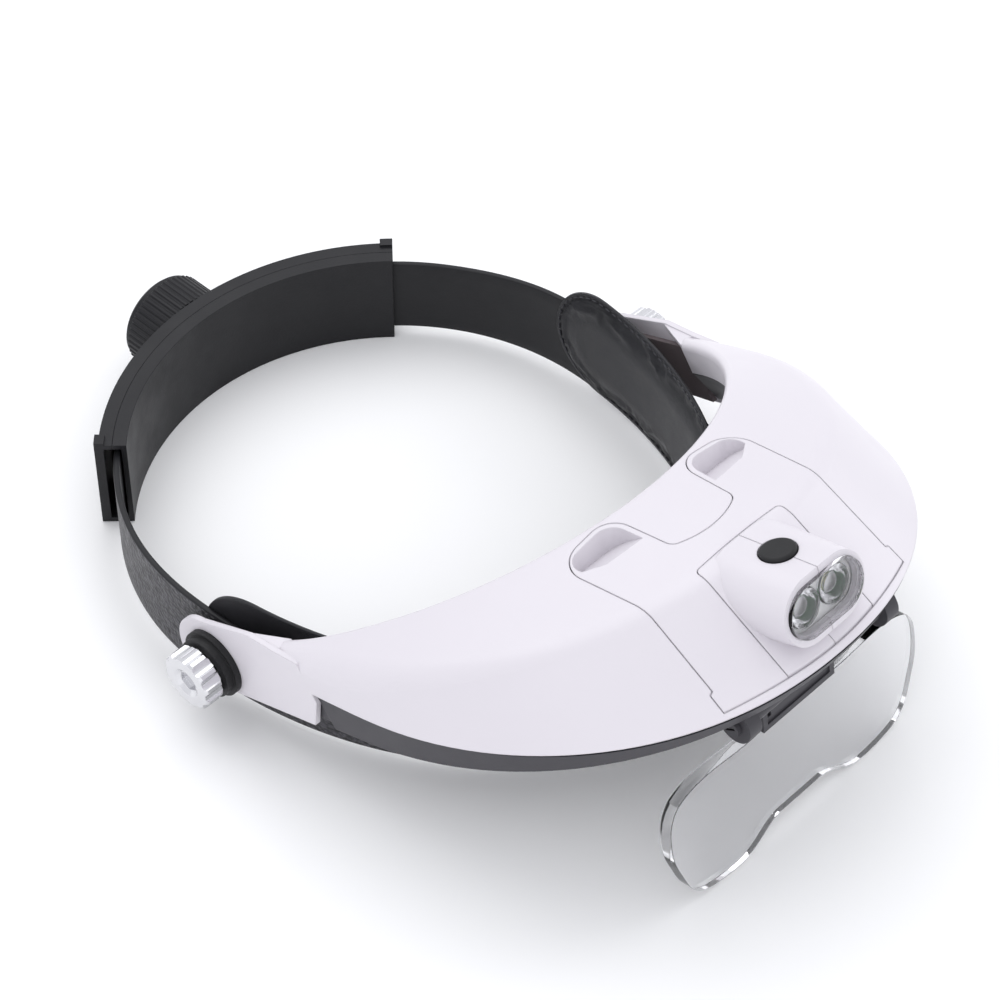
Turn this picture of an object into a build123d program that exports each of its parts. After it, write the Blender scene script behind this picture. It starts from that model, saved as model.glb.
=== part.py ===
from build123d import *
import os
from math import atan2, cos, degrees, hypot, pi, radians, sin, sqrt, tan

# Head visor magnifier, in millimetres. The wearer faces -Y, +Z is up, so the wearer's left is +X.
# The origin is the centre of the footprint, on the surface that the headband and the lens rest on.
# Parts are first drawn about the visor pivot axis and then moved there.

# ------------------------------------------------------------------ driving dimensions
VISOR_TILT = 35.0            # how far the visor is raised from level, as it rests
BASE_Z = -20.5               # lowest level of the band housing, below the pivot axis
FOOTPRINT_Y = -17.134        # centre of the footprint, relative to the pivot axis
GAP = 0.3                    # parting gap between neighbouring mouldings
RUN = 0.06                   # radial running clearance of a shaft in its hole

# visor, drawn level: rear edge is an arc, crease and lower edge are ellipses in plan
WALL = 1.8
POLE_Y = -60.0
REAR_R, REAR_Y, REAR_Z = 81.0, -19.5, 6.5
CREASE_B, CREASE_Y = 87.5, -49.5
HALF_WIDTH = 86.5            # outer face of the temple arms
LOWER_B, LOWER_PLUMP = 94.5, 2.15
SKIRT = 11.0                 # depth of the turned-down rear wall
ARM_FRONT_Y = -43.0
ARM_END_R = 12.6

# headband
BAND_Y = 16.5                # centre of the rear arc and of the front ellipse
BAND_R = 81.8                # outer radius of the strap's rear arc
BAND_FRONT = 110.0           # outer semi-axis of the front ellipse
BAND_T = 1.8
BAND_LOW, BAND_REAR, BAND_HIGH, BROW_HIGH = -18.0, 8.6, 10.5, 20.0
PAD_LOW, PAD_HIGH, PAD_T = -17.0, 22.0, 4.6
PAD_END_LEFT, PAD_END_RIGHT = 24.0, 11.0

# rear adjuster
HOUSE_IN, HOUSE_OUT, HOUSE_WALL, HOUSE_HALF_ANGLE = 77.8, 86.2, 1.6, 45.0
HOUSE_TOP = 12.0
KNOB_Z, KNOB_R, KNOB_Y0, KNOB_Y1 = -5.0, 15.5, 104.3, 119.5
PINION_TEETH, PINION_R = 8, 5.0
RACK_IN_R, RACK_OUT_R, RACK_T = 80.0, 82.3, 1.5
RACK_REACH, RACK_ROOT = 15.5, 37.5   # degrees past the centre, and where the strap begins

# side knobs
STUD_R = 3.0
SIDE_KNOB_R, SIDE_KNOB_IN, SIDE_KNOB_OUT = 9.0, 91.6, 98.0
WASHER_R = 10.6

# lens and holder, drawn in the lens's own plane: x across, s up, n out of the front face
LENS_LEAN = 9.4
LENS_T = 4.0
LENS_FOOT = 24.87            # from the lens plane's zero level down to the lobes
HOLDER_HALF, HOLDER_LOW, HOLDER_HIGH = 14.6, 17.8, 31.0
HOLDER_FRONT, HOLDER_BACK = 2.2, -5.8
PIVOT_S, PIVOT_N = 35.9, 7.0
LUG_IN, LUG_OUT, LUG_R = 25.6, 30.4, 5.6
PIN_R = 1.5

# lamp
LED_X = 5.9
LAMP_Y, LAMP_Z, LAMP_DIP = -156.9, -26.6, 14.5
BUTTON_R, BUTTON_BACK = 5.2, -13.5

# battery bay, in a plane along the floor of the tray
CELL_R, CELL_L, CELL_PITCH, CELL_FIRST, CELL_H = 5.2, 44.5, 11.4, 13.9, 4.6

os.makedirs("parts", exist_ok=True)

PIVOT = Pos(0, -FOOTPRINT_Y, -BASE_Z)
VISOR = PIVOT * Rot(X=-VISOR_TILT)
LENS_FOOT_DROP = LENS_FOOT * cos(radians(LENS_LEAN)) + LENS_T * sin(radians(LENS_LEAN))
LENS_PLANE = Plane(
    origin=(0, -139.8, BASE_Z + LENS_FOOT_DROP),
    x_dir=(1, 0, 0),
    z_dir=(0, -cos(radians(LENS_LEAN)), sin(radians(LENS_LEAN))),
)
LENS = PIVOT * LENS_PLANE.location
LAMP = Plane(
    origin=(0, LAMP_Y, LAMP_Z),
    x_dir=(1, 0, 0),
    z_dir=(0, -cos(radians(LAMP_DIP)), -sin(radians(LAMP_DIP))),
).location


def save(name, shape):
    export_step(Compound(children=list(shape.solids())), f"parts/{name}.step")


def both_sides(shape):
    return shape + mirror(shape, about=Plane.YZ)


def rod_x(radius, x0, x1):
    """A round bar along X."""
    return Pos((x0 + x1) / 2, 0, 0) * Rot(Y=90) * Cylinder(radius, x1 - x0)


def rod_y(radius, y0, y1):
    """A round bar along Y."""
    return Pos(0, (y0 + y1) / 2, 0) * Rot(X=90) * Cylinder(radius, y1 - y0)


def oval(width, height, radius=None):
    """A rounded rectangle, a stadium if no radius is given."""
    return RectangleRounded(width, height, radius or height / 2 - 0.01)


# ------------------------------------------------------------------ visor sections
# A section is the plane through (x0, y0) with plan direction (dx, dy). Its curve points are
# (s, z): the distance along that direction and the height.

def ellipse_reach(angle, a, b, y, power=2.0):
    """Distance from the pole to an ellipse centred at (0, y), along a plan angle from -Y."""
    low, high = 0.0, 200.0
    for _ in range(50):
        mid = (low + high) / 2
        x, depth = mid * sin(angle), POLE_Y - mid * cos(angle) - y
        inside = abs(x / a) ** power + abs(depth / b) ** power < 1
        low, high = (mid, high) if inside else (low, mid)
    return low


def crease_z(y):
    return 3.5 + 0.14 * (y + 40)


def lower_z(y):
    return -10 + 0.309 * (y + 50)


def tray_z(y):
    return -18.5 + 0.229 * (y + 36)


def pole_section(angle_deg):
    """The visor's three curves where a plane through the pole cuts them."""
    angle = radians(abs(angle_deg))
    offset = REAR_Y - POLE_Y
    rear = -offset * cos(angle) + sqrt(REAR_R**2 - (offset * sin(angle)) ** 2)
    crease = ellipse_reach(angle, HALF_WIDTH, CREASE_B, CREASE_Y)
    lower = ellipse_reach(angle, HALF_WIDTH, LOWER_B, POLE_Y, LOWER_PLUMP)
    side = 1 if angle_deg >= 0 else -1
    y_at = [POLE_Y - s * cos(angle) for s in (rear, crease, lower)]
    return (side * sin(angle), -cos(angle), POLE_Y), (rear, crease, lower), y_at


def cross_section(side, y):
    """The same where the temple runs straight back."""
    rear = sqrt(REAR_R**2 - (y - REAR_Y) ** 2)
    return (side, 0.0, y), (rear, HALF_WIDTH, HALF_WIDTH), [y, y, y]


STRAIGHT_Y = (-51.0, -42.0, -34.0)
STATIONS = (
    [cross_section(1, y) for y in reversed(STRAIGHT_Y)]
    + [pole_section(a) for a in range(90, -91, -10)]
    + [cross_section(-1, y) for y in STRAIGHT_Y]
)


def shifted(a, b, amount):
    """The line a-b moved to its right-hand side by an amount."""
    length = hypot(b[0] - a[0], b[1] - a[1])
    nx, nz = (b[1] - a[1]) / length * amount, -(b[0] - a[0]) / length * amount
    return (a[0] + nx, a[1] + nz), (b[0] + nx, b[1] + nz)


def crossing(p, q, r, s):
    """Where the lines p-q and r-s meet."""
    d1, d2 = (q[0] - p[0], q[1] - p[1]), (s[0] - r[0], s[1] - r[1])
    t = ((r[0] - p[0]) * d2[1] - (r[1] - p[1]) * d2[0]) / (d1[0] * d2[1] - d1[1] * d2[0])
    return (p[0] + t * d1[0], p[1] + t * d1[1])


def inner_path(path, thickness):
    lines = [shifted(a, b, thickness) for a, b in zip(path, path[1:])]
    middle = [crossing(*m, *n) for m, n in zip(lines, lines[1:])]
    return [lines[0][0], *middle, lines[-1][1]]


def rounded_edges(path, radii, place):
    """Edges along a path, with its inner corners rounded."""
    edges, start = [], path[0]
    for before, corner, after, radius in zip(path, path[1:], path[2:], radii):
        u = (before[0] - corner[0], before[1] - corner[1])
        v = (after[0] - corner[0], after[1] - corner[1])
        lu, lv = hypot(*u), hypot(*v)
        u, v = (u[0] / lu, u[1] / lu), (v[0] / lv, v[1] / lv)
        half = atan2(abs(u[0] * v[1] - u[1] * v[0]), u[0] * v[0] + u[1] * v[1]) / 2
        run = min(radius / tan(half), 0.45 * lu, 0.45 * lv)
        radius = run * tan(half)
        a = (corner[0] + u[0] * run, corner[1] + u[1] * run)
        b = (corner[0] + v[0] * run, corner[1] + v[1] * run)
        bis = (u[0] + v[0], u[1] + v[1])
        reach = (radius / sin(half) - radius) / hypot(*bis)
        mid = (corner[0] + bis[0] * reach, corner[1] + bis[1] * reach)
        edges += [Edge.make_line(place(start), place(a)),
                  Edge.make_three_point_arc(place(a), place(mid), place(b))]
        start = b
    return edges + [Edge.make_line(place(start), place(path[-1]))]


def placer(plan):
    dx, dy, y0 = plan
    return lambda p: Vector(p[0] * dx, y0 + p[0] * dy, p[1])


def shell_outline(rear, crease, lower, y_at):
    """Outer path of the upper shell: rear wall, top, side."""
    return [(rear, REAR_Z - SKIRT), (rear, REAR_Z), (crease, crease_z(y_at[1])),
            (lower, lower_z(y_at[2]))]


def shell_wire(station):
    plan, (rear, crease, lower), y_at = station
    place = placer(plan)
    outer = shell_outline(rear, crease, lower, y_at)
    inner = inner_path(outer, WALL)[::-1]
    edges = rounded_edges(outer, (2.2, 9.0), place) + [
        Edge.make_line(place(outer[-1]), place(inner[0]))]
    edges += rounded_edges(inner, (7.2, 0.6), place) + [
        Edge.make_line(place(inner[-1]), place(outer[0]))]
    return Wire(edges)


def tray_wire(station):
    """The lower tray: lip inside the shell, band below its edge, floor up to the rear wall."""
    plan, (rear, crease, lower), y_at = station
    outer = shell_outline(rear, crease, lower, y_at)
    top, foot = outer[2], outer[3]
    length = hypot(foot[0] - top[0], foot[1] - top[1])
    down = ((foot[0] - top[0]) / length, (foot[1] - top[1]) / length)
    inward = (down[1], -down[0])

    def at(depth, drop):
        return (foot[0] + inward[0] * depth + down[0] * drop,
                foot[1] + inward[1] * depth + down[1] * drop)

    lip = WALL + GAP
    back = lip + 1.5
    edge = at(1.0, GAP)
    draft = 0.4 + 0.035 * max(0.0, -60.0 - y_at[2])
    sole = (edge[0] - draft, tray_z(y_at[2]))
    floor_end = (rear + 0.2, REAR_Z - SKIRT - GAP)
    upper = shifted(sole, floor_end, 1.5)
    level = (floor_end, (floor_end[0] + 1, floor_end[1]))
    knee = at(back, 0.5)
    below = (knee, (sole[0] - 1.9, sole[1]))
    points = [at(lip, -4.0), at(lip, GAP), edge, sole, floor_end,
              crossing(*upper, *level), crossing(*upper, *below), knee, at(back, -4.0)]
    return Wire.make_polygon([placer(plan)(p) for p in points], close=True)


# ------------------------------------------------------------------ visor shell and arms
# The cover's outline lies in a plane 10 degrees off level: x across, w forward.
COVER_PLANE = Plane(origin=(0, 0, 0), x_dir=(1, 0, 0),
                    z_dir=(0, -sin(radians(10)), cos(radians(10)))).location


def cover_prism(sketch, low=-70.0, high=40.0):
    """Extrudes an (x, w) outline, w counted forward, along the cover's lifting direction."""
    return COVER_PLANE * Pos(0, 0, low) * extrude(mirror(sketch, about=Plane.XZ), high - low)


def outline_face(right, back_w, front_w, rounds):
    """A face from the points of its right half; its back and front edges are shallow arcs."""
    points = right + [(-x, w) for x, w in reversed(right)]
    n = len(right)
    face = make_face([*Polyline(*points[:n]).edges(), *Polyline(*points[n:]).edges(),
                      *ThreePointArc(points[n - 1], (0, front_w), points[n]).edges(),
                      *ThreePointArc(points[-1], (0, back_w), points[0]).edges()])
    for (x, w), radius in rounds.items():
        for side in (1, -1):
            spot = Vector(side * x, w, 0)
            vertex = min(face.vertices(), key=lambda v: (Vector(v) - spot).length)
            face = fillet(vertex, radius)
    return face


LOBE_W, LOBE_IN, LOBE_OUT = 99.4, 13.6, 34.6
FRONT_W = 157.8
COVER_FACE = outline_face(
    [(12.6, 120.5), (LOBE_IN, LOBE_W), (LOBE_OUT, LOBE_W), (33.9, 131.5), (34.8, 147.2),
     (35.9, 147.2), (36.2, 150.6)],
    124.0, FRONT_W, {(12.6, 120.5): 3.5, (LOBE_IN, LOBE_W): 7.0, (LOBE_OUT, LOBE_W): 8.0})
BASE_FACE = outline_face([(16.7, 132.0), (17.1, 156.2)], 131.9, FRONT_W, {(16.7, 132.0): 1.6})

# Low down, the prism stops short of the shell's rear wall.
SHALLOW = COVER_PLANE * Pos(0, -57.0, -57.0) * Box(100, 114, 140)


def grown_prism(face, grow):
    """The prism of an outline moved outward."""
    return cover_prism(offset(face, grow)) - SHALLOW


band = Solid.make_loft([shell_wire(station) for station in STATIONS])

# Temple arm: round end about the pivot, falling top edge, step where the tray begins.
ARM_IN = HALF_WIDTH - WALL
arm_side = make_face(Polyline((3.0, 14.1), (-24.8, 9.9), (-34.0, 5.6), (ARM_FRONT_Y, 2.0),
                              (ARM_FRONT_Y, -10.8), (-36.5, -18.5), (-2.0, -10.4), (8.0, 0),
                              close=True))
arm_side += Pos(2.0, 1.6) * Circle(ARM_END_R)
arm = Plane.YZ.offset(ARM_IN).location * extrude(arm_side, WALL)
arm_top = Plane.XZ.location
arm += loft([
    Pos(0, -34.3, 0) * arm_top * Pos((79.75 + HALF_WIDTH) / 2, 4.3)
    * Rectangle(HALF_WIDTH - 79.75, WALL),
    Pos(0, -24.0, 0) * arm_top * Pos((ARM_IN + HALF_WIDTH) / 2, 8.9) * Rectangle(WALL, WALL)])
arm -= rod_x(STUD_R + RUN, ARM_IN - 1, HALF_WIDTH + 1)
visor_shell = band - grown_prism(COVER_FACE, GAP) + both_sides(arm)
save("visor_shell", VISOR * visor_shell)

# ------------------------------------------------------------------ battery cover
def fill_wire(station, depth=0.0):
    """Everything under the shell's outer surface, or under its inner one at a depth."""
    plan, (rear, crease, lower), y_at = station
    path = shell_outline(rear, crease, lower, y_at)
    radii = (2.2, 9.0)
    if depth:
        path, radii = inner_path(path, depth), (0.6, 7.2)
    place = placer(plan)
    foot, heel = place((path[-1][0] + 4 * depth, -60.0)), place((path[0][0], -60.0))
    return Wire(rounded_edges(path, radii, place) + [
        Edge.make_line(place(path[-1]), foot), Edge.make_line(foot, heel),
        Edge.make_line(heel, place(path[0]))])


under_surface = Solid.make_loft([fill_wire(station) for station in STATIONS])
under_shell = Solid.make_loft([fill_wire(station, WALL) for station in STATIONS])

# Finger recesses: a floor that rises forward from the deep rear wall to the surface.
RECESS_WALL, RECESS_LOW = 1.2, 15.3
recess_face = make_face(Polyline((15.2, 100.7), (33.3, 100.7), (32.6, 106.5), (25.5, 111.5),
                                 (14.5, 114.0), close=True))
for spot, radius in (((15.2, 100.7, 0), 5.5), ((33.3, 100.7, 0), 4.5)):
    corner = min(recess_face.vertices(), key=lambda v: (Vector(v) - Vector(*spot)).length)
    recess_face = fillet(corner, radius)


def above_recess_floor(drop):
    """The space above the sloping recess floor, lowered by an amount."""
    slope = Pos(0, -100.7, RECESS_LOW - drop) * Rot(X=-20.5)
    return COVER_PLANE * slope * Pos(0, 0, 30) * Box(120, 120, 60)


recess = cover_prism(recess_face) & above_recess_floor(0)
recess_box = grown_prism(recess_face, RECESS_WALL) & above_recess_floor(RECESS_WALL)
centre_cover = under_surface & (cover_prism(COVER_FACE) - SHALLOW)
centre_cover = centre_cover - (under_shell - both_sides(recess_box)) - both_sides(recess)
centre_cover -= grown_prism(BASE_FACE, GAP / 2)

# ------------------------------------------------------------------ lamp
def in_lamp(sketch, z0, z1, y=0.0):
    return LAMP * Pos(0, y, z0) * extrude(sketch, z1 - z0)


LAMP_SINK = 3.5              # the pod's walls reach this far below the shell's surface
pod = LAMP * loft([Pos(0, 0.5, 0) * oval(31.0, 20.4), Pos(0, 0.5, -27.0) * oval(34.0, 24.2)])
pod -= Pos(0, 0, -LAMP_SINK) * under_surface
hollow = (in_lamp(oval(28.2, 15.7), -1.0, 1.0, 0.8) + in_lamp(oval(26.0, 13.4), -3.0, -1.0, 0.8)
          + in_lamp(oval(27.4, 16.8), -40.0, -3.0, 0.5))
lamp_base = band & grown_prism(BASE_FACE, -GAP / 2)
button_hole = LAMP * Pos(0, 10, BUTTON_BACK) * Rot(X=90) * Cylinder(BUTTON_R + 0.3, 8)
lamp = pod + lamp_base - hollow - button_hole
seam = Box(0.2, 400, 300)
half_space = Box(200, 600, 400, align=(Align.MIN, Align.CENTER, Align.CENTER))
lamp_left = (lamp - seam) & half_space
lamp_right = (lamp - seam) - half_space
save("battery_cover", VISOR * centre_cover)
save("lamp_housing_left", VISOR * lamp_left)
save("lamp_housing_right", VISOR * lamp_right)

BEAM_Y = 0.8                 # height of the lamps in the lamp's frame
save("lamp_window", VISOR * in_lamp(oval(28.0, 15.5), -1.0, 1.2, BEAM_Y))
dome = Pos(0, 0, -8.2) * Sphere(7.0) & Pos(0, 0, -1.7) * Box(20, 20, 2.0)
collimator = Pos(0, 0, -4.6) * Cone(3.0, 5.6, 4.0) + dome
collimator -= Pos(0, 0, -6.1) * Cylinder(2.3, 1.2)
save("collimators", VISOR * LAMP * Pos(0, BEAM_Y, 0) * both_sides(Pos(LED_X, 0, 0) * collimator))
carrier = in_lamp(oval(26.4, 15.2), -5.0, -3.6, BEAM_Y)
for side in (1, -1):
    carrier -= LAMP * Pos(side * LED_X, BEAM_Y, -4.3) * Cylinder(5.75, 3)
save("collimator_carrier", VISOR * carrier)
save("led_board", VISOR * in_lamp(oval(26.0, 12.0), -9.8, -8.6, -0.2))
led = Pos(LED_X, BEAM_Y, -8.0) * Box(3.5, 3.5, 1.2) + Pos(LED_X, BEAM_Y, -7.3) * Box(2.4, 2.4, 0.2)
save("leds", VISOR * LAMP * both_sides(led))
save("switch_board", VISOR * LAMP * Pos(0, 1.5, -14.5) * Box(12, 1, 8))
switch = Pos(0, 3.6, BUTTON_BACK) * Box(6, 3.2, 6) + Pos(0, 5.7, BUTTON_BACK) * Rot(X=90) * Cylinder(
    1.7, 1.2)
save("switch_body", VISOR * LAMP * switch)
button = Pos(0, 10, BUTTON_BACK) * Rot(X=90) * Cylinder(BUTTON_R, 5)
button = fillet(button.edges().filter_by(GeomType.CIRCLE).sort_by(Axis.Y)[-1], 0.8)
button += Pos(0, 7.9, BUTTON_BACK) * Rot(X=90) * Cylinder(BUTTON_R + 0.8, 1.0)
save("power_button", VISOR * LAMP * button)

# ------------------------------------------------------------------ lower tray and battery bay
# Battery plane: x across, y backward up the floor, z up off the floor.
BAY = Plane(origin=(0, -100.5, -4.7), x_dir=(1, 0, 0), z_dir=(0, -0.598, 0.8015)).location
BAY_HALF, BAY_BACK, BAY_FRONT, BAY_WALL = 25.7, 7.4, 43.4, 1.2
BAY_LOW, BAY_HIGH = -2.0, 5.5
TAB_X, TAB_ROWS, TAB_R = 28.6, (12.0, 38.5), 3.2
FLIP_Y, FLIP_Z = -139.0, -47.0      # lens holder's hinge axis


def bay_box(half, back, front, low, high):
    """A box across the battery plane, between two distances forward and two heights."""
    return Pos(0, -(back + front) / 2, (low + high) / 2) * Box(2 * half, front - back, high - low)


def upright(x, row, radius, low, high):
    """A round bar standing on the battery plane."""
    return Pos(x, -row, (low + high) / 2) * Cylinder(radius, high - low)


tab_spots = [(side * TAB_X, row) for side in (1, -1) for row in TAB_ROWS]
visor_tray = Solid.make_loft([tray_wire(station) for station in STATIONS])
visor_tray -= BAY * bay_box(BAY_HALF + GAP, BAY_BACK - GAP, BAY_FRONT + GAP, -6.0, 5.0)
visor_tray += BAY * (Part() + [upright(x, row, 3.0, -2.9, -0.4) for x, row in tab_spots])
visor_tray -= BAY * (Part() + [upright(x, row, 1.0, -2.4, 0) for x, row in tab_spots])
arm_space = Pos(ARM_IN - GAP + 5, (ARM_FRONT_Y - GAP - 30) / 2, 0) * Box(
    10, -30 - (ARM_FRONT_Y - GAP), 80)
visor_tray -= both_sides(arm_space)
lug_side = make_face(Polyline((FLIP_Y - LUG_R, FLIP_Z), (FLIP_Y + LUG_R, FLIP_Z),
                              (FLIP_Y + LUG_R, -31.9), (FLIP_Y - LUG_R, -40.2), close=True))
lug_side += Pos(FLIP_Y, FLIP_Z) * Circle(LUG_R)
lug_side -= Pos(FLIP_Y, FLIP_Z) * Circle(PIN_R)
visor_tray += both_sides(Plane.YZ.offset(LUG_IN).location * extrude(lug_side, LUG_OUT - LUG_IN))
save("visor_tray", VISOR * visor_tray)

pin = rod_x(PIN_R, 19.0, LUG_OUT + 0.4) + rod_x(2.8, LUG_OUT + 0.02, LUG_OUT + 1.6)
pin -= Pos(LUG_OUT + 1.4, 0, 0) * Box(1.0, 3.6, 0.7)
save("hinge_pins", VISOR * Pos(0, FLIP_Y, FLIP_Z) * both_sides(pin))

battery_tray = bay_box(BAY_HALF, BAY_BACK, BAY_FRONT, BAY_LOW, BAY_HIGH)
battery_tray -= bay_box(BAY_HALF - BAY_WALL, BAY_BACK + BAY_WALL, BAY_FRONT - BAY_WALL,
                        BAY_LOW + BAY_WALL, BAY_HIGH + 1)
for row in (CELL_FIRST + CELL_PITCH / 2, CELL_FIRST + CELL_PITCH * 1.5):
    battery_tray += bay_box(20.0, row - 0.3, row + 0.3, BAY_LOW + 1, 4.5)
for x, row in tab_spots:
    battery_tray += upright(x, row, TAB_R, -0.35, 1.2)
    battery_tray += Pos(x * 0.93, -row, 0.425) * Box(4.0, 2 * TAB_R, 1.55)
battery_tray -= Part() + [upright(x, row, 1.3, -2, 2) for x, row in tab_spots]
save("battery_tray", VISOR * BAY * battery_tray)

screw = Pos(0, 0, 1.85) * Cylinder(2.3, 1.2) + Pos(0, 0, -0.3) * Cylinder(0.98, 4.0)
screw -= Pos(0, 0, 2.3) * (Box(2.8, 0.6, 0.8) + Box(0.6, 2.8, 0.8))
save("bay_screws", VISOR * BAY * (Part() + [Pos(x, -row, 0) * screw for x, row in tab_spots]))

cell = rod_x(CELL_R, -CELL_L / 2, CELL_L / 2 - 1.2) + rod_x(2.6, CELL_L / 2 - 2, CELL_L / 2)
spring = Pos(-CELL_L / 2 - 0.85, 0, 0) * Rot(Y=90) * (Cone(3.4, 2.2, 1.6) - Cone(2.9, 1.7, 1.62))
plate = Pos(CELL_L / 2 + 2.0, 0, -0.4) * Box(0.4, 8.4, 7.6)
bump = rod_x(1.3, CELL_L / 2 + 0.05, CELL_L / 2 + 1.9)
cells, springs, plates = Part(), Part(), Part()
for index in range(3):
    spot = BAY * Pos(0, -(CELL_FIRST + CELL_PITCH * index), CELL_H) * Rot(Z=180 * (index % 2))
    cells += spot * cell
    springs += spot * spring
    plates += spot * (plate + bump + mirror(plate, about=Plane.YZ))
save("battery_cells", VISOR * cells)
save("contact_springs", VISOR * springs)
save("contact_plates", VISOR * plates)

# dark plate lining the inside of each arm, clear of the pivot
liner_side = make_face(Polyline((-9.0, -9.5), (-9.0, 7.5), (-32.8, 2.0), (-32.8, -16.6), close=True))
liner = Plane.YZ.offset(ARM_IN - 1.6).location * extrude(liner_side, 1.55)
save("arm_liner_left", VISOR * liner)
save("arm_liner_right", VISOR * mirror(liner, about=Plane.YZ))

# ------------------------------------------------------------------ lens and its holder
lens_half = [(0, -18.4), (9, -18.4), (14, -20.2), (18, -22.5), (23, -24.5), (29, -24.8),
             (36.5, -23.8), (41, -22.3), (45, -18.5), (48.2, -11), (50.2, -5), (51, 3), (50, 10),
             (47, 14.4), (42, 16.4), (30, 17), (15, 16.5), (12, 16.5), (12, 27.0), (0, 27.0)]
edge = Spline(*lens_half[1:14]).edges() + Spline(*lens_half[13:17]).edges()
edge += Polyline(*lens_half[16:]).edges() + Polyline(*lens_half[:2]).edges()
outline = make_face(edge + [e.mirror(Plane.YZ) for e in edge])
lens = Pos(0, 0, -LENS_T) * extrude(outline, LENS_T)
save("lens", LENS * lens)

profile = Polyline((HOLDER_LOW, HOLDER_BACK), (HOLDER_LOW, HOLDER_FRONT), (29.5, HOLDER_FRONT),
                   (33.6, 8.4), (38.2, 6.2), (HOLDER_HIGH, -1.5), close=True)
SIDEWAYS = Plane(origin=(0, 0, 0), x_dir=(0, 1, 0), z_dir=(1, 0, 0)).location
holder = Pos(-HOLDER_HALF, 0, 0) * SIDEWAYS * extrude(make_face(profile), 2 * HOLDER_HALF)
barrel_spot = Pos(0, PIVOT_S, PIVOT_N)
holder += barrel_spot * rod_x(3.2, -25.3, 25.3)
panel_y, panel_h = (HOLDER_LOW + 29.5) / 2, 29.5 - HOLDER_LOW
holder -= Pos(0, panel_y, HOLDER_FRONT) * Box(2 * HOLDER_HALF - 3.6, panel_h - 3.6, 1.2)
holder -= both_sides(Pos(11.4, panel_y + 0.5, HOLDER_FRONT) * Box(1.4, 5.6, 3.2))
holder -= Pos(0, HOLDER_LOW + 4.7, -LENS_T / 2) * Box(24.2, 9.6, LENS_T + 0.2)
holder -= barrel_spot * both_sides(rod_x(PIN_R + RUN, 18.0, 26.0))
save("lens_holder", LENS * holder)

# ------------------------------------------------------------------ headband
def band_outline(inset):
    """Plan of the strap's outer face, moved inward: a circle behind, half an ellipse before."""
    across, front = BAND_R - inset, BAND_FRONT - inset
    ellipse = Ellipse(across, front) & Pos(0, -200) * Rectangle(400, 400)
    circle = Circle(across) & Pos(0, 200) * Rectangle(400, 400)
    return Pos(0, BAND_Y) * (circle + ellipse)


def sector(radius0, radius1, z0, z1, angle0, angle1):
    """A piece of a ring about the band's rear centre; angles from +Y toward +X."""
    start = 90 - angle1
    ring = Pos(0, 0, z0) * extrude(Circle(radius1) - Circle(radius0), z1 - z0)
    reach = 2 * radius1
    wedge = Polyline((0, 0), *[(reach * cos(radians(a)), reach * sin(radians(a))) for a in (
        start, start + (angle1 - angle0) / 2, start + angle1 - angle0)], close=True)
    return Pos(0, BAND_Y, 0) * (ring & Pos(0, 0, z0) * extrude(make_face(wedge), z1 - z0))


strap = Pos(0, 0, BAND_LOW) * extrude(band_outline(0) - band_outline(BAND_T),
                                      BROW_HIGH - BAND_LOW)
strap -= sector(60, 100, BAND_LOW - 1, BROW_HIGH + 1, -RACK_ROOT, RACK_ROOT)
above = Polyline((120, BAND_REAR), (62, BAND_REAR), (20, BAND_HIGH), (-25, BAND_HIGH), (-60, BROW_HIGH),
                 (-60, 40), (120, 40), close=True)
strap -= Plane.YZ.offset(-100).location * extrude(make_face(above), 200)
strap -= rod_x(STUD_R + 0.02, -100, 100)
save("headband_strap", PIVOT * strap)

pad = Pos(0, 0, PAD_LOW) * extrude(band_outline(BAND_T + 0.05) - band_outline(BAND_T + PAD_T),
                                   PAD_HIGH - PAD_LOW)
pad_mid, pad_half = (PAD_LOW + PAD_HIGH) / 2, (PAD_HIGH - PAD_LOW) / 2
for end_y, offset in ((PAD_END_LEFT, 0), (PAD_END_RIGHT, -100)):
    keep = Pos(end_y - pad_half, pad_mid) * Circle(pad_half)
    keep += Pos((end_y - pad_half - 130) / 2, pad_mid) * Rectangle(end_y - pad_half + 130, 2 * pad_half)
    beyond = Plane.YZ.offset(offset).location * extrude(Pos(0, pad_mid) * Rectangle(300, 60) - keep, 100)
    pad -= beyond
stud_pocket = both_sides(rod_x(5.6, 77.2, 90.0))
pad -= stud_pocket
save("forehead_pad", PIVOT * pad)

stud = rod_x(STUD_R, 77.6, 95.0) + (rod_x(5.2, 77.4, 80.0) & Pos(0, 0, -30) * extrude(
    band_outline(BAND_T + 0.05), 60))
stud = both_sides(stud)
save("pivot_studs", PIVOT * stud)
spacer = rod_x(7.0, 78.0, ARM_IN - 0.1) - Pos(0, 0, -30) * extrude(band_outline(-0.05), 60)
spacer -= rod_x(STUD_R + RUN, 70, 90)
save("friction_spacers", PIVOT * both_sides(spacer))

# ------------------------------------------------------------------ side knobs
scallops = Circle(SIDE_KNOB_R)
for index in range(12):
    scallops -= Rot(Z=30 * index) * Pos(SIDE_KNOB_R + 1.2, 0) * Circle(2.2)
knob_length = SIDE_KNOB_OUT - SIDE_KNOB_IN
side_knob = Pos(SIDE_KNOB_IN, 0, 0) * Rot(Y=90) * (
    extrude(scallops, knob_length) & Pos(0, 0, knob_length / 2)
    * chamfer(Cylinder(SIDE_KNOB_R, knob_length).edges().filter_by(GeomType.CIRCLE), 0.7))
side_knob += rod_x(6.5, SIDE_KNOB_IN - 0.9, SIDE_KNOB_IN + 0.5)
side_knob -= rod_x(STUD_R + RUN, 80, 95.2)
side_knob -= Pos(95.8, 0, 0) * Rot(Y=90) * extrude(RegularPolygon(3.4, 6), 3)
side_knob -= Pos(SIDE_KNOB_OUT - 0.5, 0, 0) * Rot(Y=90) * Cone(3.4, 4.8, 1.01)
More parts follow.
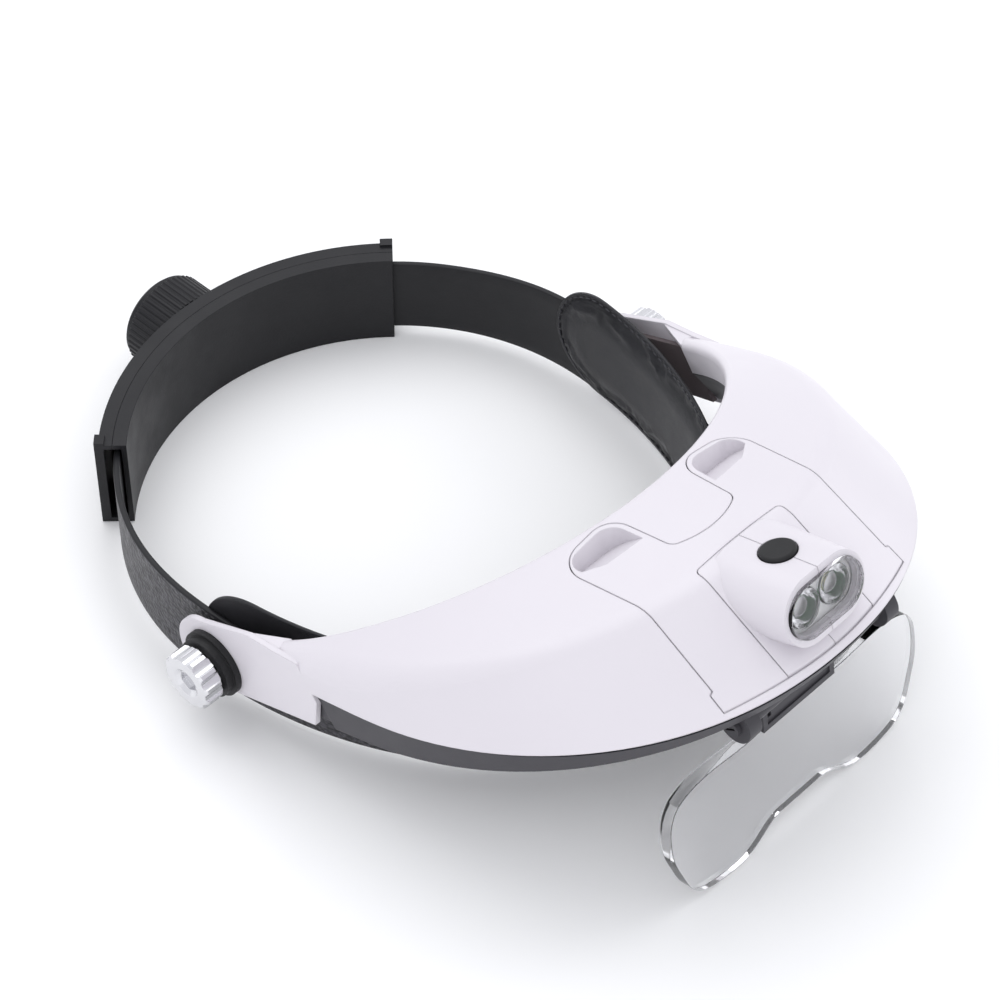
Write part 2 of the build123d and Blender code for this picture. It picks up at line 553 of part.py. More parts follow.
washer = (rod_x(WASHER_R, HALF_WIDTH + 0.1, 88.4) + rod_x(9.4, 88.4, SIDE_KNOB_IN - 0.95)
          - rod_x(STUD_R + RUN, 80, 95))
for name, shape in (("side_knob", side_knob), ("rubber_washer", washer)):
    save(f"{name}_left", PIVOT * shape)
    save(f"{name}_right", PIVOT * mirror(shape, about=Plane.YZ))

# ------------------------------------------------------------------ rear adjuster
SPLIT_R = 82.0
HOUSE_LOW = BASE_Z
half_angle = HOUSE_HALF_ANGLE
housing = sector(HOUSE_IN, HOUSE_OUT, HOUSE_LOW, HOUSE_TOP, -half_angle, half_angle)
for side in (1, -1):
    ends = sorted((side * (half_angle - 2.6), side * half_angle))
    housing += sector(HOUSE_OUT - 1.8, HOUSE_OUT + 1.2, HOUSE_LOW, HOUSE_TOP + 0.8, *ends)
boss = Pos(0, 0, KNOB_Z) * rod_y(13.0, BAND_Y + HOUSE_OUT - 3, KNOB_Y0 - 1.0)
housing += boss
housing -= sector(HOUSE_IN + HOUSE_WALL, HOUSE_OUT - HOUSE_WALL, HOUSE_LOW + HOUSE_WALL,
                  HOUSE_TOP - HOUSE_WALL, -half_angle - 5, half_angle + 5)
bearing = Pos(0, 0, KNOB_Z) * rod_y(4.5, BAND_Y + HOUSE_IN + 0.4, BAND_Y + HOUSE_IN + 1.9)
housing += bearing
housing -= Pos(0, 0, KNOB_Z) * rod_y(STUD_R + RUN, 96.5, 110)
housing -= Pos(0, 0, KNOB_Z) * rod_y(2.0 + RUN, 95.0, 97.0)
inside = Pos(0, BAND_Y, -50) * extrude(Circle(SPLIT_R - 0.05), 100)
outside = Pos(0, BAND_Y, -50) * extrude(Circle(SPLIT_R + 0.05), 100)
save("housing_inner", PIVOT * (housing & inside))
save("housing_outer", PIVOT * (housing - outside))

ribs = Circle(KNOB_R)
for index in range(48):
    ribs -= Rot(Z=7.5 * index) * Pos(KNOB_R + 0.2, 0) * Circle(0.62)
KNOB_LENGTH = KNOB_Y1 - KNOB_Y0
knob_body = extrude(ribs, KNOB_LENGTH - 2.6) + Pos(0, 0, KNOB_LENGTH - 2.6) * extrude(
    Circle(KNOB_R - 0.9), 2.6)
knob_body = chamfer(knob_body.edges().filter_by(GeomType.CIRCLE).sort_by(Axis.Z)[-1], 0.9)
knob_body -= Pos(0, 0, 4.0) * (Cylinder(KNOB_R - 2.4, 8.0) - Cylinder(6.0, 8.0))
knob_body -= Pos(0, 0, KNOB_LENGTH - 1.2) * (Cylinder(11.0, 2.4) - Cylinder(4.6, 2.4))
KNOB_SPOT = Pos(0, KNOB_Y0, KNOB_Z) * Rot(X=-90)
knob_body -= Cylinder(2.6, 24.4)
knob_body -= Pos(0, 0, KNOB_LENGTH - 1.5) * Cylinder(3.2, 3.1)
save("adjust_knob", PIVOT * KNOB_SPOT * knob_body)

PINION_TIP, PINION_ROOT = 6.0, 3.9
tooth = make_face(Polyline((3.0, -0.95), (PINION_ROOT, -0.95), (PINION_TIP, -0.4),
                           (PINION_TIP, 0.4), (PINION_ROOT, 0.95), (3.0, 0.95), close=True))
gear = Circle(PINION_ROOT)
for index in range(PINION_TEETH):
    gear += Rot(Z=90 + 360 / PINION_TEETH * index) * tooth
PINION_Y0, PINION_Y1 = 96.7, 100.5
pinion = Pos(0, PINION_Y0, KNOB_Z) * Rot(X=-90) * extrude(gear, PINION_Y1 - PINION_Y0)
pinion += Pos(0, 0, KNOB_Z) * (rod_y(STUD_R, PINION_Y1 - 1, KNOB_Y0 - 0.05)
                               + rod_y(2.55, KNOB_Y0 - 0.1, KNOB_Y0 + 12.0)
                               + rod_y(2.0, 95.2, PINION_Y0 + 1))
pinion -= Pos(0, 0, KNOB_Z) * rod_y(1.25, KNOB_Y0 + 2.0, KNOB_Y0 + 13)
save("pinion", PIVOT * pinion)
knob_screw = Pos(0, 0, KNOB_Z) * (rod_y(1.22, KNOB_Y0 + 3.0, KNOB_Y1 - 2.7)
                                  + rod_y(3.0, KNOB_Y1 - 2.9, KNOB_Y1 - 1.0))
knob_screw -= Pos(0, KNOB_Y1 - 1.0, KNOB_Z) * (Box(3.6, 1.2, 0.7) + Box(0.7, 1.2, 3.6))
save("knob_screw", PIVOT * knob_screw)


def rack(inner_radius, up, side):
    """A strip with a slot and a row of teeth; up is the toothed edge, side the end it leaves by."""
    outer = inner_radius + RACK_T
    middle = inner_radius + RACK_T / 2
    strip = sector(inner_radius, outer, KNOB_Z - 9, KNOB_Z + 9, -RACK_REACH, RACK_ROOT - 0.3)
    low, high = (-6.6, 6.3) if up > 0 else (-6.3, 6.6)
    strip -= sector(inner_radius - 1, outer + 1, KNOB_Z + low, KNOB_Z + high, -13, 13)
    step = degrees(pi * 2 * PINION_R / PINION_TEETH / middle)
    tip_z, root_z = KNOB_Z + up * 4.15, KNOB_Z + up * 6.6
    for index in range(-4, 4):
        angle = (index + 0.5) * step
        spike = extrude(make_face(Polyline((-1.0, root_z), (-0.3, tip_z), (0.3, tip_z),
                                           (1.0, root_z), close=True)), RACK_T)
        strip += Pos(0, BAND_Y, 0) * Rot(Z=-angle) * Pos(0, outer - 0.02, 0) * Rot(X=90) * spike
    strip = strip & sector(inner_radius, outer, KNOB_Z - 9, KNOB_Z + 9, -RACK_REACH, RACK_ROOT)
    return strip if side > 0 else mirror(strip, about=Plane.YZ)


rack_left = rack(RACK_IN_R, 1, 1)
rack_right = rack(RACK_OUT_R, -1, -1)
save("rack_left", PIVOT * rack_left)
save("rack_right", PIVOT * rack_right)
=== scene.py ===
from math import cos, pi, radians, sin, sqrt

import bpy
from mathutils import Matrix, Vector


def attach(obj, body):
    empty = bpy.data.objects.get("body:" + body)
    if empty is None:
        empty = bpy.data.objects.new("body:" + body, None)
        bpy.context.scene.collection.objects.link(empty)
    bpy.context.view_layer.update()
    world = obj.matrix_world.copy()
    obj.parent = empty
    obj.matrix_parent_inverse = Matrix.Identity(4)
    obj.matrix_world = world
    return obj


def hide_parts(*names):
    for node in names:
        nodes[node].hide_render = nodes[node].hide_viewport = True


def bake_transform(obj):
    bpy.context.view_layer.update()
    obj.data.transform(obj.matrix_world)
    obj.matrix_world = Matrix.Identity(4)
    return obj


# Looks for the head visor magnifier. Metres; the wearer faces -Y and +Z is up.

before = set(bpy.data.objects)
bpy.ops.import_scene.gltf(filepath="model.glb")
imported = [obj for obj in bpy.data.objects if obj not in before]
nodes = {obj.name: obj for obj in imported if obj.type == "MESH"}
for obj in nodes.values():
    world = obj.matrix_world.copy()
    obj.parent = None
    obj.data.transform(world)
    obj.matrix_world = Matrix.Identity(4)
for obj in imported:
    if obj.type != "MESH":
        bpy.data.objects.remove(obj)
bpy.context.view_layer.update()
scene = bpy.context.scene

MM = 0.001
PIVOT = Vector((0, 17.134, 20.5)) * MM       # middle of the visor's tilt axis


def at(x, y, z):
    """A point given in millimetres from the visor's tilt axis."""
    return PIVOT + Vector((x, y, z)) * MM


# ------------------------------------------------------------------ camera, light, stage
camera = bpy.data.objects.new("camera", bpy.data.cameras.new("camera"))
scene.collection.objects.link(camera)
forward = Vector((0.4937, 0.4718, -0.7305))
right = Vector((0.6924, -0.7216, 0.0018))
down = Vector((-0.5263, -0.5067, -0.6829))
camera.matrix_world = Matrix.Translation(at(-468.1, -474.8, 712.4)) @ Matrix(
    (right, -down, -forward)).transposed().to_4x4()
SENSOR, FOCAL, FRAME_WIDTH = 36.0, 3322.8, 1000.0     # millimetres, then two in pixels
camera.data.sensor_width = SENSOR
camera.data.lens = FOCAL * SENSOR / FRAME_WIDTH
camera.data.clip_start = 0.01
scene.camera = camera


def area_light(name, place, target, size, power):
    """A square soft box that faces a point."""
    data = bpy.data.lights.new(name, "AREA")
    data.size = size
    data.energy = power
    light = bpy.data.objects.new(name, data)
    light.matrix_world = Matrix.Translation(place) @ (
        Vector(target) - Vector(place)).to_track_quat("-Z", "Y").to_matrix().to_4x4()
    scene.collection.objects.link(light)


area_light("key_light", (0.15, 0.55, 1.25), (0, 0, 0.04), 1.4, 7.0)
area_light("front_light", (-0.9, -0.9, 0.7), (0, 0, 0.03), 1.2, 2.6)
area_light("side_light", (1.1, -0.4, 0.6), (0, 0, 0.03), 0.7, 2.0)
world = bpy.data.worlds.new("studio")
world.use_nodes = True
sky = world.node_tree.nodes["Background"].inputs
sky["Color"].default_value = (0.95, 0.96, 1.0, 1)
sky["Strength"].default_value = 1.0
scene.world = world
scene.view_settings.view_transform = "Standard"


# ------------------------------------------------------------------ materials
class Nodes:
    """A small helper that adds and joins shader nodes."""

    def __init__(self, name):
        self.material = bpy.data.materials.new(name)
        self.material.use_nodes = True
        self.tree = self.material.node_tree
        self.shader = self.tree.nodes["Principled BSDF"]
        self.coords = self.tree.nodes.new("ShaderNodeTexCoord").outputs["Object"]

    def add(self, kind, **settings):
        node = self.tree.nodes.new(kind)
        for key, value in settings.items():
            setattr(node, key, value)
        return node

    def join(self, source, target):
        self.tree.links.new(source, target)

    def noise(self, scale, detail=4.0, roughness=0.55, stretch=None):
        node = self.add("ShaderNodeTexNoise")
        node.inputs["Scale"].default_value = scale
        node.inputs["Detail"].default_value = detail
        node.inputs["Roughness"].default_value = roughness
        self.join(self.stretched(stretch), node.inputs["Vector"])
        return node.outputs["Fac"]

    def cells(self, scale, feature="SMOOTH_F1"):
        node = self.add("ShaderNodeTexVoronoi", feature=feature)
        node.inputs["Scale"].default_value = scale
        self.join(self.coords, node.inputs["Vector"])
        return node.outputs["Distance"]

    def stretched(self, stretch):
        if stretch is None:
            return self.coords
        node = self.add("ShaderNodeMapping")
        node.inputs["Scale"].default_value = stretch
        self.join(self.coords, node.inputs["Vector"])
        return node.outputs["Vector"]

    def spread(self, value, low, high, start=0.3, end=0.7):
        """A texture value mapped from start-end to low-high."""
        node = self.add("ShaderNodeMapRange")
        node.inputs["From Min"].default_value = start
        node.inputs["From Max"].default_value = end
        node.inputs["To Min"].default_value = low
        node.inputs["To Max"].default_value = high
        self.join(value, node.inputs["Value"])
        return node.outputs["Result"]

    def mixed(self, value, dark, light):
        node = self.add("ShaderNodeMix", data_type="RGBA")
        node.inputs[6].default_value = (*dark, 1)
        node.inputs[7].default_value = (*light, 1)
        self.join(value, node.inputs[0])
        return node.outputs[2]

    def relief(self, layers, edge=0.0):
        """Bumps of (texture value, depth in metres) on an edge rounded by a radius."""
        normal = None
        if edge:
            node = self.add("ShaderNodeBevel", samples=6)
            node.inputs["Radius"].default_value = edge
            normal = node.outputs["Normal"]
        for value, depth in layers:
            node = self.add("ShaderNodeBump")
            node.inputs["Strength"].default_value = 1.0
            node.inputs["Distance"].default_value = depth
            self.join(value, node.inputs["Height"])
            if normal is not None:
                self.join(normal, node.inputs["Normal"])
            normal = node.outputs["Normal"]
        self.join(normal, self.shader.inputs["Normal"])

    def set(self, **values):
        for key, value in values.items():
            self.shader.inputs[key.replace("_", " ")].default_value = value


def shade(color, factor):
    return tuple(min(1.0, c * factor) for c in color)


def moulded(name, color, low, high, grain=900.0, depth=0.00002, edge=0.0003, wear=0.03):
    """Moulded plastic: faint flow shades, a fine grain and a little handling gloss."""
    n = Nodes(name)
    flow = n.noise(22.0, 6.0, 0.6, (1.0, 1.0, 1.6))
    n.join(n.mixed(n.spread(flow, 0, 1), shade(color, 1 - wear), shade(color, 1 + wear)),
           n.shader.inputs["Base Color"])
    gloss = n.noise(70.0, 5.0, 0.6)
    n.join(n.spread(gloss, low, high), n.shader.inputs["Roughness"])
    n.relief([(n.noise(45.0, 2.0), depth * 1.5), (n.noise(grain, 2.0), depth)], edge)
    n.set(Specular_IOR_Level=0.5 if color[0] > 0.3 else 0.28)
    return n


def turned(name, color, low, high, axis, ring=2600.0):
    """Turned metal: rings round an axis, faint scratches."""
    n = Nodes(name)
    stretch = {"X": (ring, 8, 8), "Y": (8, ring, 8), "Z": (8, 8, ring)}[axis]
    lines = n.noise(1.0, 3.0, 0.6, stretch)
    cloud = n.noise(160.0, 5.0, 0.6)
    n.join(n.mixed(n.spread(cloud, 0, 1), shade(color, 0.94), color), n.shader.inputs["Base Color"])
    n.join(n.spread(lines, low, high), n.shader.inputs["Roughness"])
    n.relief([(lines, 0.000006), (n.noise(700.0), 0.000004)], 0.00025)
    n.set(Metallic=1.0)
    return n


def clear(name, color, low, high, ior=1.49):
    """Clear plastic with faint polishing marks."""
    n = Nodes(name)
    haze = n.noise(120.0, 6.0, 0.65)
    n.join(n.mixed(n.spread(haze, 0, 1), shade(color, 0.985), color), n.shader.inputs["Base Color"])
    n.join(n.spread(haze, low, high), n.shader.inputs["Roughness"])
    n.relief([(n.noise(30.0, 1.0), 0.00001)], 0.0004)
    n.set(Transmission_Weight=1.0, IOR=ior)
    return n


def pebbled(name, color):
    """The strap's outer face: small round pebbles of uneven size, with painted highlight on their
    tops and painted shade in the gaps.
    """
    n = Nodes(name)
    pebbles = n.cells(850.0)
    fine = n.cells(2100.0)
    # Painted highlight and shade: pebble tops are coloured twice as light and the gaps between them
    # far darker, following the bump.
    n.join(n.mixed(n.spread(pebbles, 0, 1, 0.15, 0.6), shade(color, 2.0), shade(color, 0.4)),
           n.shader.inputs["Base Color"])
    n.join(n.spread(n.noise(300.0), 0.38, 0.55), n.shader.inputs["Roughness"])
    n.relief([(n.spread(pebbles, 1, 0, 0.0, 0.7), 0.00035), (fine, 0.00006),
              (n.noise(40.0), 0.00008)], 0.0003)
    return n


def leatherette(name, color):
    """Soft coated cover with a fine crackled grain."""
    n = Nodes(name)
    grain = n.cells(1500.0, "DISTANCE_TO_EDGE")
    cloud = n.noise(60.0, 5.0, 0.6)
    n.join(n.mixed(n.spread(cloud, 0, 1), shade(color, 0.8), shade(color, 1.25)),
           n.shader.inputs["Base Color"])
    n.join(n.spread(cloud, 0.34, 0.46), n.shader.inputs["Roughness"])
    n.relief([(n.spread(grain, 0, 1, 0.0, 0.12), 0.00004), (n.noise(160.0), 0.00012)])
    n.set(Sheen_Weight=0.05, Sheen_Roughness=0.5, Specular_IOR_Level=0.35)
    return n


WHITE = (0.66, 0.632, 0.672)
white = moulded("white_shell", WHITE, 0.30, 0.40, 1400.0, 0.000008, 0.0005, 0.008)
white.set(Subsurface_Weight=0.12, Subsurface_Radius=(0.004, 0.004, 0.004), Subsurface_Scale=0.3)
dark = moulded("dark_tray", (0.050, 0.048, 0.055), 0.40, 0.52, 1600.0, 0.00003)
# Arm liner mauve-grey: partly the plates' own grey plastic, partly painted shade of the hollow
# inside each arm.
liner = moulded("arm_liner", (0.15, 0.125, 0.13), 0.40, 0.52, 1600.0, 0.00003)
housing = moulded("housing_plastic", (0.010, 0.010, 0.012), 0.36, 0.50, 1500.0, 0.00004)
knob_black = moulded("knob_plastic", (0.008, 0.008, 0.010), 0.38, 0.50, 1500.0, 0.00003)
strap_smooth = moulded("strap_smooth", (0.012, 0.012, 0.014), 0.40, 0.52, 1300.0, 0.00003)
strap_pebbled = pebbled("strap_pebbled", (0.030, 0.029, 0.034))
cover = leatherette("pad_cover", (0.008, 0.008, 0.011))
thread = moulded("pad_seam", (0.045, 0.045, 0.052), 0.40, 0.55, 2600.0, 0.00004, 0.0)
button_black = moulded("button_rubber", (0.012, 0.012, 0.013), 0.45, 0.6, 1700.0, 0.00003)
rubber = moulded("washer_rubber", (0.014, 0.014, 0.015), 0.45, 0.62, 1200.0, 0.00004)
spacer = moulded("spacer_plastic", (0.030, 0.030, 0.032), 0.35, 0.5)
acetal = moulded("acetal", (0.80, 0.80, 0.79), 0.35, 0.45, 1500.0)
board = moulded("circuit_board", (0.02, 0.12, 0.04), 0.3, 0.42, 2200.0, 0.00003, 0.0001, 0.2)
phosphor = moulded("led_phosphor", (0.85, 0.78, 0.42), 0.4, 0.6, 2500.0, 0.00002, 0.0001, 0.1)
sleeve = moulded("cell_sleeve", (0.05, 0.09, 0.22), 0.22, 0.32, 1500.0, 0.00001, 0.0003, 0.12)
chrome = turned("knob_metal", (0.72, 0.72, 0.74), 0.12, 0.26, "X")
steel_x = turned("pin_steel", (0.62, 0.62, 0.64), 0.22, 0.38, "X")
steel_z = turned("screw_steel", (0.60, 0.60, 0.62), 0.22, 0.38, "Z")
steel_y = turned("knob_screw_steel", (0.58, 0.58, 0.60), 0.22, 0.38, "Y")
spring_steel = turned("contact_steel", (0.66, 0.65, 0.62), 0.2, 0.34, "Z")
acrylic = clear("lens_acrylic", (0.985, 0.985, 0.995), 0.0, 0.02)
window_clear = clear("window_clear", (0.99, 0.99, 1.0), 0.0, 0.03, 1.3)
optic = clear("collimator_clear", (0.98, 0.98, 1.0), 0.12, 0.22, 1.35)

LOOKS = {
    "visor_shell": white, "battery_cover": white, "lamp_housing_left": white,
    "lamp_housing_right": white, "visor_tray": dark, "battery_tray": dark, "lens_holder": dark,
    "arm_liner_left": liner, "arm_liner_right": liner, "housing_inner": housing,
    "housing_outer": housing, "adjust_knob": knob_black, "power_button": button_black,
    "switch_body": button_black, "friction_spacers": spacer, "rubber_washer_left": rubber,
    "rubber_washer_right": rubber, "side_knob_left": chrome, "side_knob_right": chrome,
    "pivot_studs": steel_x, "hinge_pins": dark, "bay_screws": steel_z, "knob_screw": steel_y,
    "contact_springs": spring_steel, "contact_plates": spring_steel, "battery_cells": sleeve,
    "collimator_carrier": acetal, "pinion": acetal, "rack_left": acetal, "rack_right": acetal,
    "led_board": board, "switch_board": board, "leds": phosphor, "lens": acrylic,
    "lamp_window": window_clear, "collimators": optic, "headband_strap": strap_smooth,
    "forehead_pad": cover,
}
for name, node in nodes.items():
    node.data.materials.clear()
    node.data.materials.append(LOOKS[name].material)


# ------------------------------------------------------------------ headband curve
BAND_Y, BAND_A, BAND_B, ROOT_ANGLE = 16.5, 81.8, 110.0, radians(37.5)


def raw_point(t, inset):
    """Circle behind and half ellipse before, t running -1 to 1 from right root to left root."""
    a, b = BAND_A - inset, BAND_B - inset
    side = 1 if t >= 0 else -1
    if abs(t) > 0.5:
        angle = pi / 2 - (abs(t) - 0.5) * 2 * (pi / 2 - ROOT_ANGLE)
        return side * a * sin(angle), BAND_Y + a * cos(angle)
    angle = abs(t) * pi
    return side * a * sin(angle), BAND_Y - b * cos(angle)


SAMPLES = 1600
table = [(0.0, -1.0)]
previous = raw_point(-1.0, 0)
for index in range(1, SAMPLES + 1):
    t = -1 + 2 * index / SAMPLES
    point = raw_point(t, 0)
    step = sqrt((point[0] - previous[0]) ** 2 + (point[1] - previous[1]) ** 2)
    table.append((table[-1][0] + step, t))
    previous = point
LENGTH = table[-1][0]


def band_point(s, inset):
    """A plan point at the arc length s, moved inward by an inset."""
    s = min(max(s, 0.0), LENGTH)
    low, high = 0, SAMPLES
    while high - low > 1:
        middle = (low + high) // 2
        low, high = (middle, high) if table[middle][0] <= s else (low, middle)
    share = (s - table[low][0]) / (table[high][0] - table[low][0])
    return raw_point(table[low][1] + share * (table[high][1] - table[low][1]), inset)


def new_piece(name, points, faces, looks, slots_of=None):
    """A smooth mesh piece from millimetre points about the tilt axis."""
    mesh = bpy.data.meshes.new(name)
    mesh.from_pydata([at(*p) for p in points], [], faces)
    mesh.validate()
    for look in looks:
        mesh.materials.append(look.material)
    for index, polygon in enumerate(mesh.polygons):
        polygon.use_smooth = True
        if slots_of:
            polygon.material_index = slots_of[index]
    piece = bpy.data.objects.new(name, mesh)
    scene.collection.objects.link(piece)
    return piece


# ------------------------------------------------------------------ strap
STRAP_T, STRAP_LOW, EDGE = 1.8, -18.0, 0.55
TOP_EDGE = ((62.0, 8.6), (20.0, 10.5), (-25.0, 10.5), (-60.0, 20.0))


def strap_top(y):
    """Height of the strap's upper edge; it rises toward the brow."""
    if y >= TOP_EDGE[0][0]:
        return TOP_EDGE[0][1]
    for (y1, z1), (y0, z0) in zip(TOP_EDGE, TOP_EDGE[1:]):
        if y >= y0:
            share = (y1 - y) / (y1 - y0)
            share = share * share * (3 - 2 * share)
            return z1 + (z0 - z1) * share
    return TOP_EDGE[-1][1]


def strap_ring(s):
    """A rounded cross-section at s: outer face, bottom edge, inner face, top edge."""
    low, high = STRAP_LOW, strap_top(band_point(s, 0)[1])
    ring = []
    rows = 8
    for index in range(rows + 1):
        ring.append((0.0, high - EDGE + (low - high + 2 * EDGE) * index / rows))
    for angle in (30, 60):
        ring.append((EDGE * (1 - cos(radians(angle))), low + EDGE * (1 - sin(radians(angle)))))
    for angle in (60, 30, 0):
        ring.append((STRAP_T - EDGE * (1 - cos(radians(angle))),
                     low + EDGE * (1 - sin(radians(angle)))))
    for index in range(1, rows + 1):
        ring.append((STRAP_T, low + EDGE + (high - low - 2 * EDGE) * index / rows))
    for angle in (30, 60):
        ring.append((STRAP_T - EDGE * (1 - cos(radians(angle))),
                     high - EDGE * (1 - sin(radians(angle)))))
    for angle in (60, 30):
        ring.append((EDGE * (1 - cos(radians(angle))), high - EDGE * (1 - sin(radians(angle)))))
    return [(*band_point(s, inset), z) for inset, z in ring]


columns = 260
points, faces, kinds = [], [], []
for column in range(columns + 1):
    points += strap_ring(LENGTH * column / columns)
per_ring = len(points) // (columns + 1)
for column in range(columns):
    for k in range(per_ring):
        a, b = column * per_ring + k, column * per_ring + (k + 1) % per_ring
        faces.append((a, b, b + per_ring, a + per_ring))
        kinds.append(0 if k < 8 else 1)
faces += [tuple(range(per_ring - 1, -1, -1)),
          tuple(range(columns * per_ring, (columns + 1) * per_ring))]
kinds += [1, 1]
strap = new_piece("strap", points, faces, [strap_pebbled, strap_smooth], kinds)
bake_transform(strap)
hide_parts("headband_strap")

# ------------------------------------------------------------------ forehead pad
PAD_LOW, PAD_HIGH, PAD_END_LEFT, PAD_END_RIGHT = -17.0, 22.0, 24.0, 11.0
PAD_MID, PAD_HALF = (PAD_LOW + PAD_HIGH) / 2, (PAD_HIGH - PAD_LOW) / 2
pad_start = next(s for s, t in table if raw_point(t, 0)[1] < PAD_END_RIGHT)
pad_length = next(s for s, t in table if t > 0 and raw_point(t, 0)[1] > PAD_END_LEFT) - pad_start
FLANGE, CROWN = 1.9, 3.3
EASE = 0.92 * 0.35                           # how much closer the columns are at the ends
pad_columns, pad_rows = 190, 34


def end_half(run):
    """Half height of the pad's outline at a distance from its end."""
    if run >= PAD_HALF:
        return PAD_HALF
    return sqrt(max(PAD_HALF**2 - (PAD_HALF - run) ** 2, 0.0))


def edge_distance(run, z):
    """Distance from the outline, in the pad's own unrolled plane."""
    if run < PAD_HALF:
        return PAD_HALF - sqrt((PAD_HALF - run) ** 2 + (z - PAD_MID) ** 2)
    return PAD_HALF - abs(z - PAD_MID)


def pad_depth(distance):
    """Thickness over the strap: thin welded flange, groove, then the foam's crown."""
    if distance < FLANGE:
        return 0.95 - 0.35 * max(0.0, 1 - abs(distance - FLANGE) / 0.8)
    rise = min(1.0, (distance - FLANGE) / 9.0)
    return 0.6 + CROWN * sin(rise * pi / 2) ** 0.8


def row_share(row):
    """Place of a row across the pad, -1 to 1, closer together toward the edges."""
    return -cos(pi * row / pad_rows) * 0.55 + (2 * row / pad_rows - 1) * 0.45


def pad_place(run, z, depth):
    s = pad_start + run
    x, y = band_point(s, STRAP_T + 0.06 + depth)
    return (x, y, z)


points, faces, runs = [], [], []
for column in range(pad_columns + 1):
    share = column / pad_columns
    eased = share - EASE * sin(2 * pi * share) / (2 * pi)
    runs.append(0.25 + eased * (pad_length - 0.5))
for layer in (1, 0):
    for run in runs:
        near = min(run, pad_length - run)
        half = end_half(near)
        for row in range(pad_rows + 1):
            z = PAD_MID + row_share(row) * half
            depth = pad_depth(edge_distance(near, z)) if layer else 0.0
            points.append(pad_place(run, z, depth))
width = pad_rows + 1
back = (pad_columns + 1) * width
for column in range(pad_columns):
    for row in range(pad_rows):
        a = column * width + row
        faces.append((a, a + width, a + width + 1, a + 1))
        faces.append((back + a, back + a + 1, back + a + width + 1, back + a + width))
for column in range(pad_columns):
    low, high = column * width, column * width + pad_rows
    faces.append((low, back + low, back + low + width, low + width))
    faces.append((high, high + width, back + high + width, back + high))
for row in range(pad_rows):
    last = pad_columns * width + row
    faces.append((row, row + 1, back + row + 1, back + row))
    faces.append((last, back + last, back + last + 1, last + 1))
pad = new_piece("pad", points, faces, [cover])


def puff(piece, held, pressure, cap, frames=20):
    """Swells the free part of a piece with cloth pressure and keeps the result."""
    rest = [v.co.copy() for v in piece.data.vertices]
    group = piece.vertex_groups.new(name="held")
    group.add(held, 1.0, "REPLACE")
    cloth = piece.modifiers.new("cloth", "CLOTH")
    settings = cloth.settings
    settings.quality = 6
    settings.mass = 0.25
    settings.tension_stiffness = 18
    settings.compression_stiffness = 12
    settings.bending_stiffness = 0.25
    settings.shrink_min = -0.035
    settings.use_pressure = True
    settings.uniform_pressure_force = pressure
    settings.effector_weights.gravity = 0
    settings.vertex_group_mass = "held"
    cloth.collision_settings.use_collision = False
    cloth.point_cache.frame_start = 1
    cloth.point_cache.frame_end = frames
    for number in range(1, frames + 1):
        scene.frame_set(number)
    evaluated = piece.evaluated_get(bpy.context.evaluated_depsgraph_get())
    settled = [v.co.copy() for v in evaluated.data.vertices]
    piece.modifiers.clear()
    scene.frame_set(1)
    for vertex, start, end in zip(piece.data.vertices, rest, settled):
        move = end - start
        if move.length > cap:
            move *= cap / move.length
        vertex.co = start + move


PRESSURE, LARGEST_MOVE = 3.0, 0.0011         # cloth pressure, and its limit in metres
held = []
for index in range(back):
    column, row = divmod(index, width)
    near = min(runs[column], pad_length - runs[column])
    if edge_distance(near, PAD_MID + row_share(row) * end_half(near)) < FLANGE + 0.6:
        held.append(index)
held += list(range(back, 2 * back))
puff(pad, held, PRESSURE, LARGEST_MOVE)
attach(pad, "headband")
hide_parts("forehead_pad")


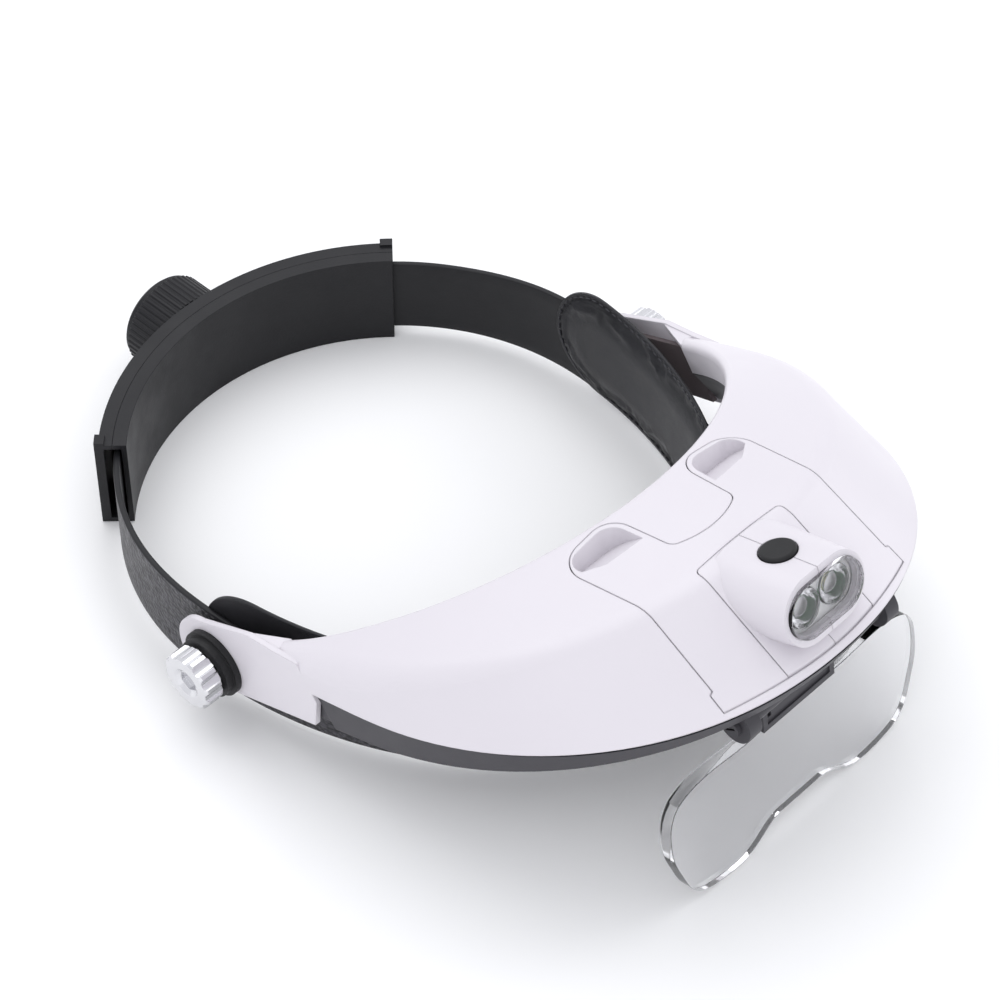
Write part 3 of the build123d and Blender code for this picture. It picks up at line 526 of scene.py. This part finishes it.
def outline_spot(q, inset):
    """A spot (run, z) on the pad's outline moved inward, q in millimetres along it."""
    radius = PAD_HALF - inset
    straight = pad_length - 2 * PAD_HALF
    arc = pi * radius
    q %= 2 * (straight + arc)
    if q < straight:
        return PAD_HALF + q, PAD_MID + radius
    q -= straight
    if q < arc:
        angle = q / radius
        return pad_length - PAD_HALF + radius * sin(angle), PAD_MID + radius * cos(angle)
    q -= arc
    if q < straight:
        return pad_length - PAD_HALF - q, PAD_MID - radius
    angle = (q - straight) / radius
    return PAD_HALF - radius * sin(angle), PAD_MID - radius * cos(angle)


def on_pad(q, inset, lift):
    run, z = outline_spot(q, inset)
    near = min(run, pad_length - run)
    return Vector(pad_place(run, z, pad_depth(edge_distance(near, z)) + lift))


def bead_row(name, inset, pitch, length, radius, lift, look):
    """A row of short raised stitches round the pad."""
    loop = 2 * (pad_length - 2 * PAD_HALF) + 2 * pi * (PAD_HALF - inset)
    count = round(loop / pitch)
    verts, quads = [], []
    rings = ((-0.5, 0.25), (-0.42, 0.8), (0.0, 1.0), (0.42, 0.8), (0.5, 0.25))
    for index in range(count):
        q = loop * index / count
        middle = on_pad(q, inset, lift)
        along = (on_pad(q + 0.6, inset, lift) - on_pad(q - 0.6, inset, lift)).normalized()
        outward = (on_pad(q, inset, lift + 1) - middle).normalized()
        across = along.cross(outward)
        first = len(verts)
        for offset, share in rings:
            for k in range(6):
                turn = k * pi / 3
                verts.append(tuple(middle + along * offset * length
                                   + (across * cos(turn) + outward * sin(turn)) * radius * share))
        for ring in range(len(rings) - 1):
            for k in range(6):
                a, b = first + ring * 6 + k, first + ring * 6 + (k + 1) % 6
                quads.append((a, b, b + 6, a + 6))
        quads.append(tuple(first + k for k in range(5, -1, -1)))
        quads.append(tuple(first + 24 + k for k in range(6)))
    return new_piece(name, verts, quads, [look])


stitches = bead_row("pad_stitches", 1.2, 3.0, 2.0, 0.28, 0.16, thread)
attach(stitches, "headband")

# ------------------------------------------------------------------ stage
bpy.ops.mesh.primitive_plane_add(size=6.0, location=(0, 0, -0.0002))
floor = bpy.context.object
floor.name = "floor"
pale = Nodes("pale_floor")
pale.join(pale.mixed(pale.noise(2.0), (0.93, 0.93, 0.93), (0.95, 0.95, 0.95)),
          pale.shader.inputs["Base Color"])
pale.set(Roughness=0.9)
floor.data.materials.append(pale.material)
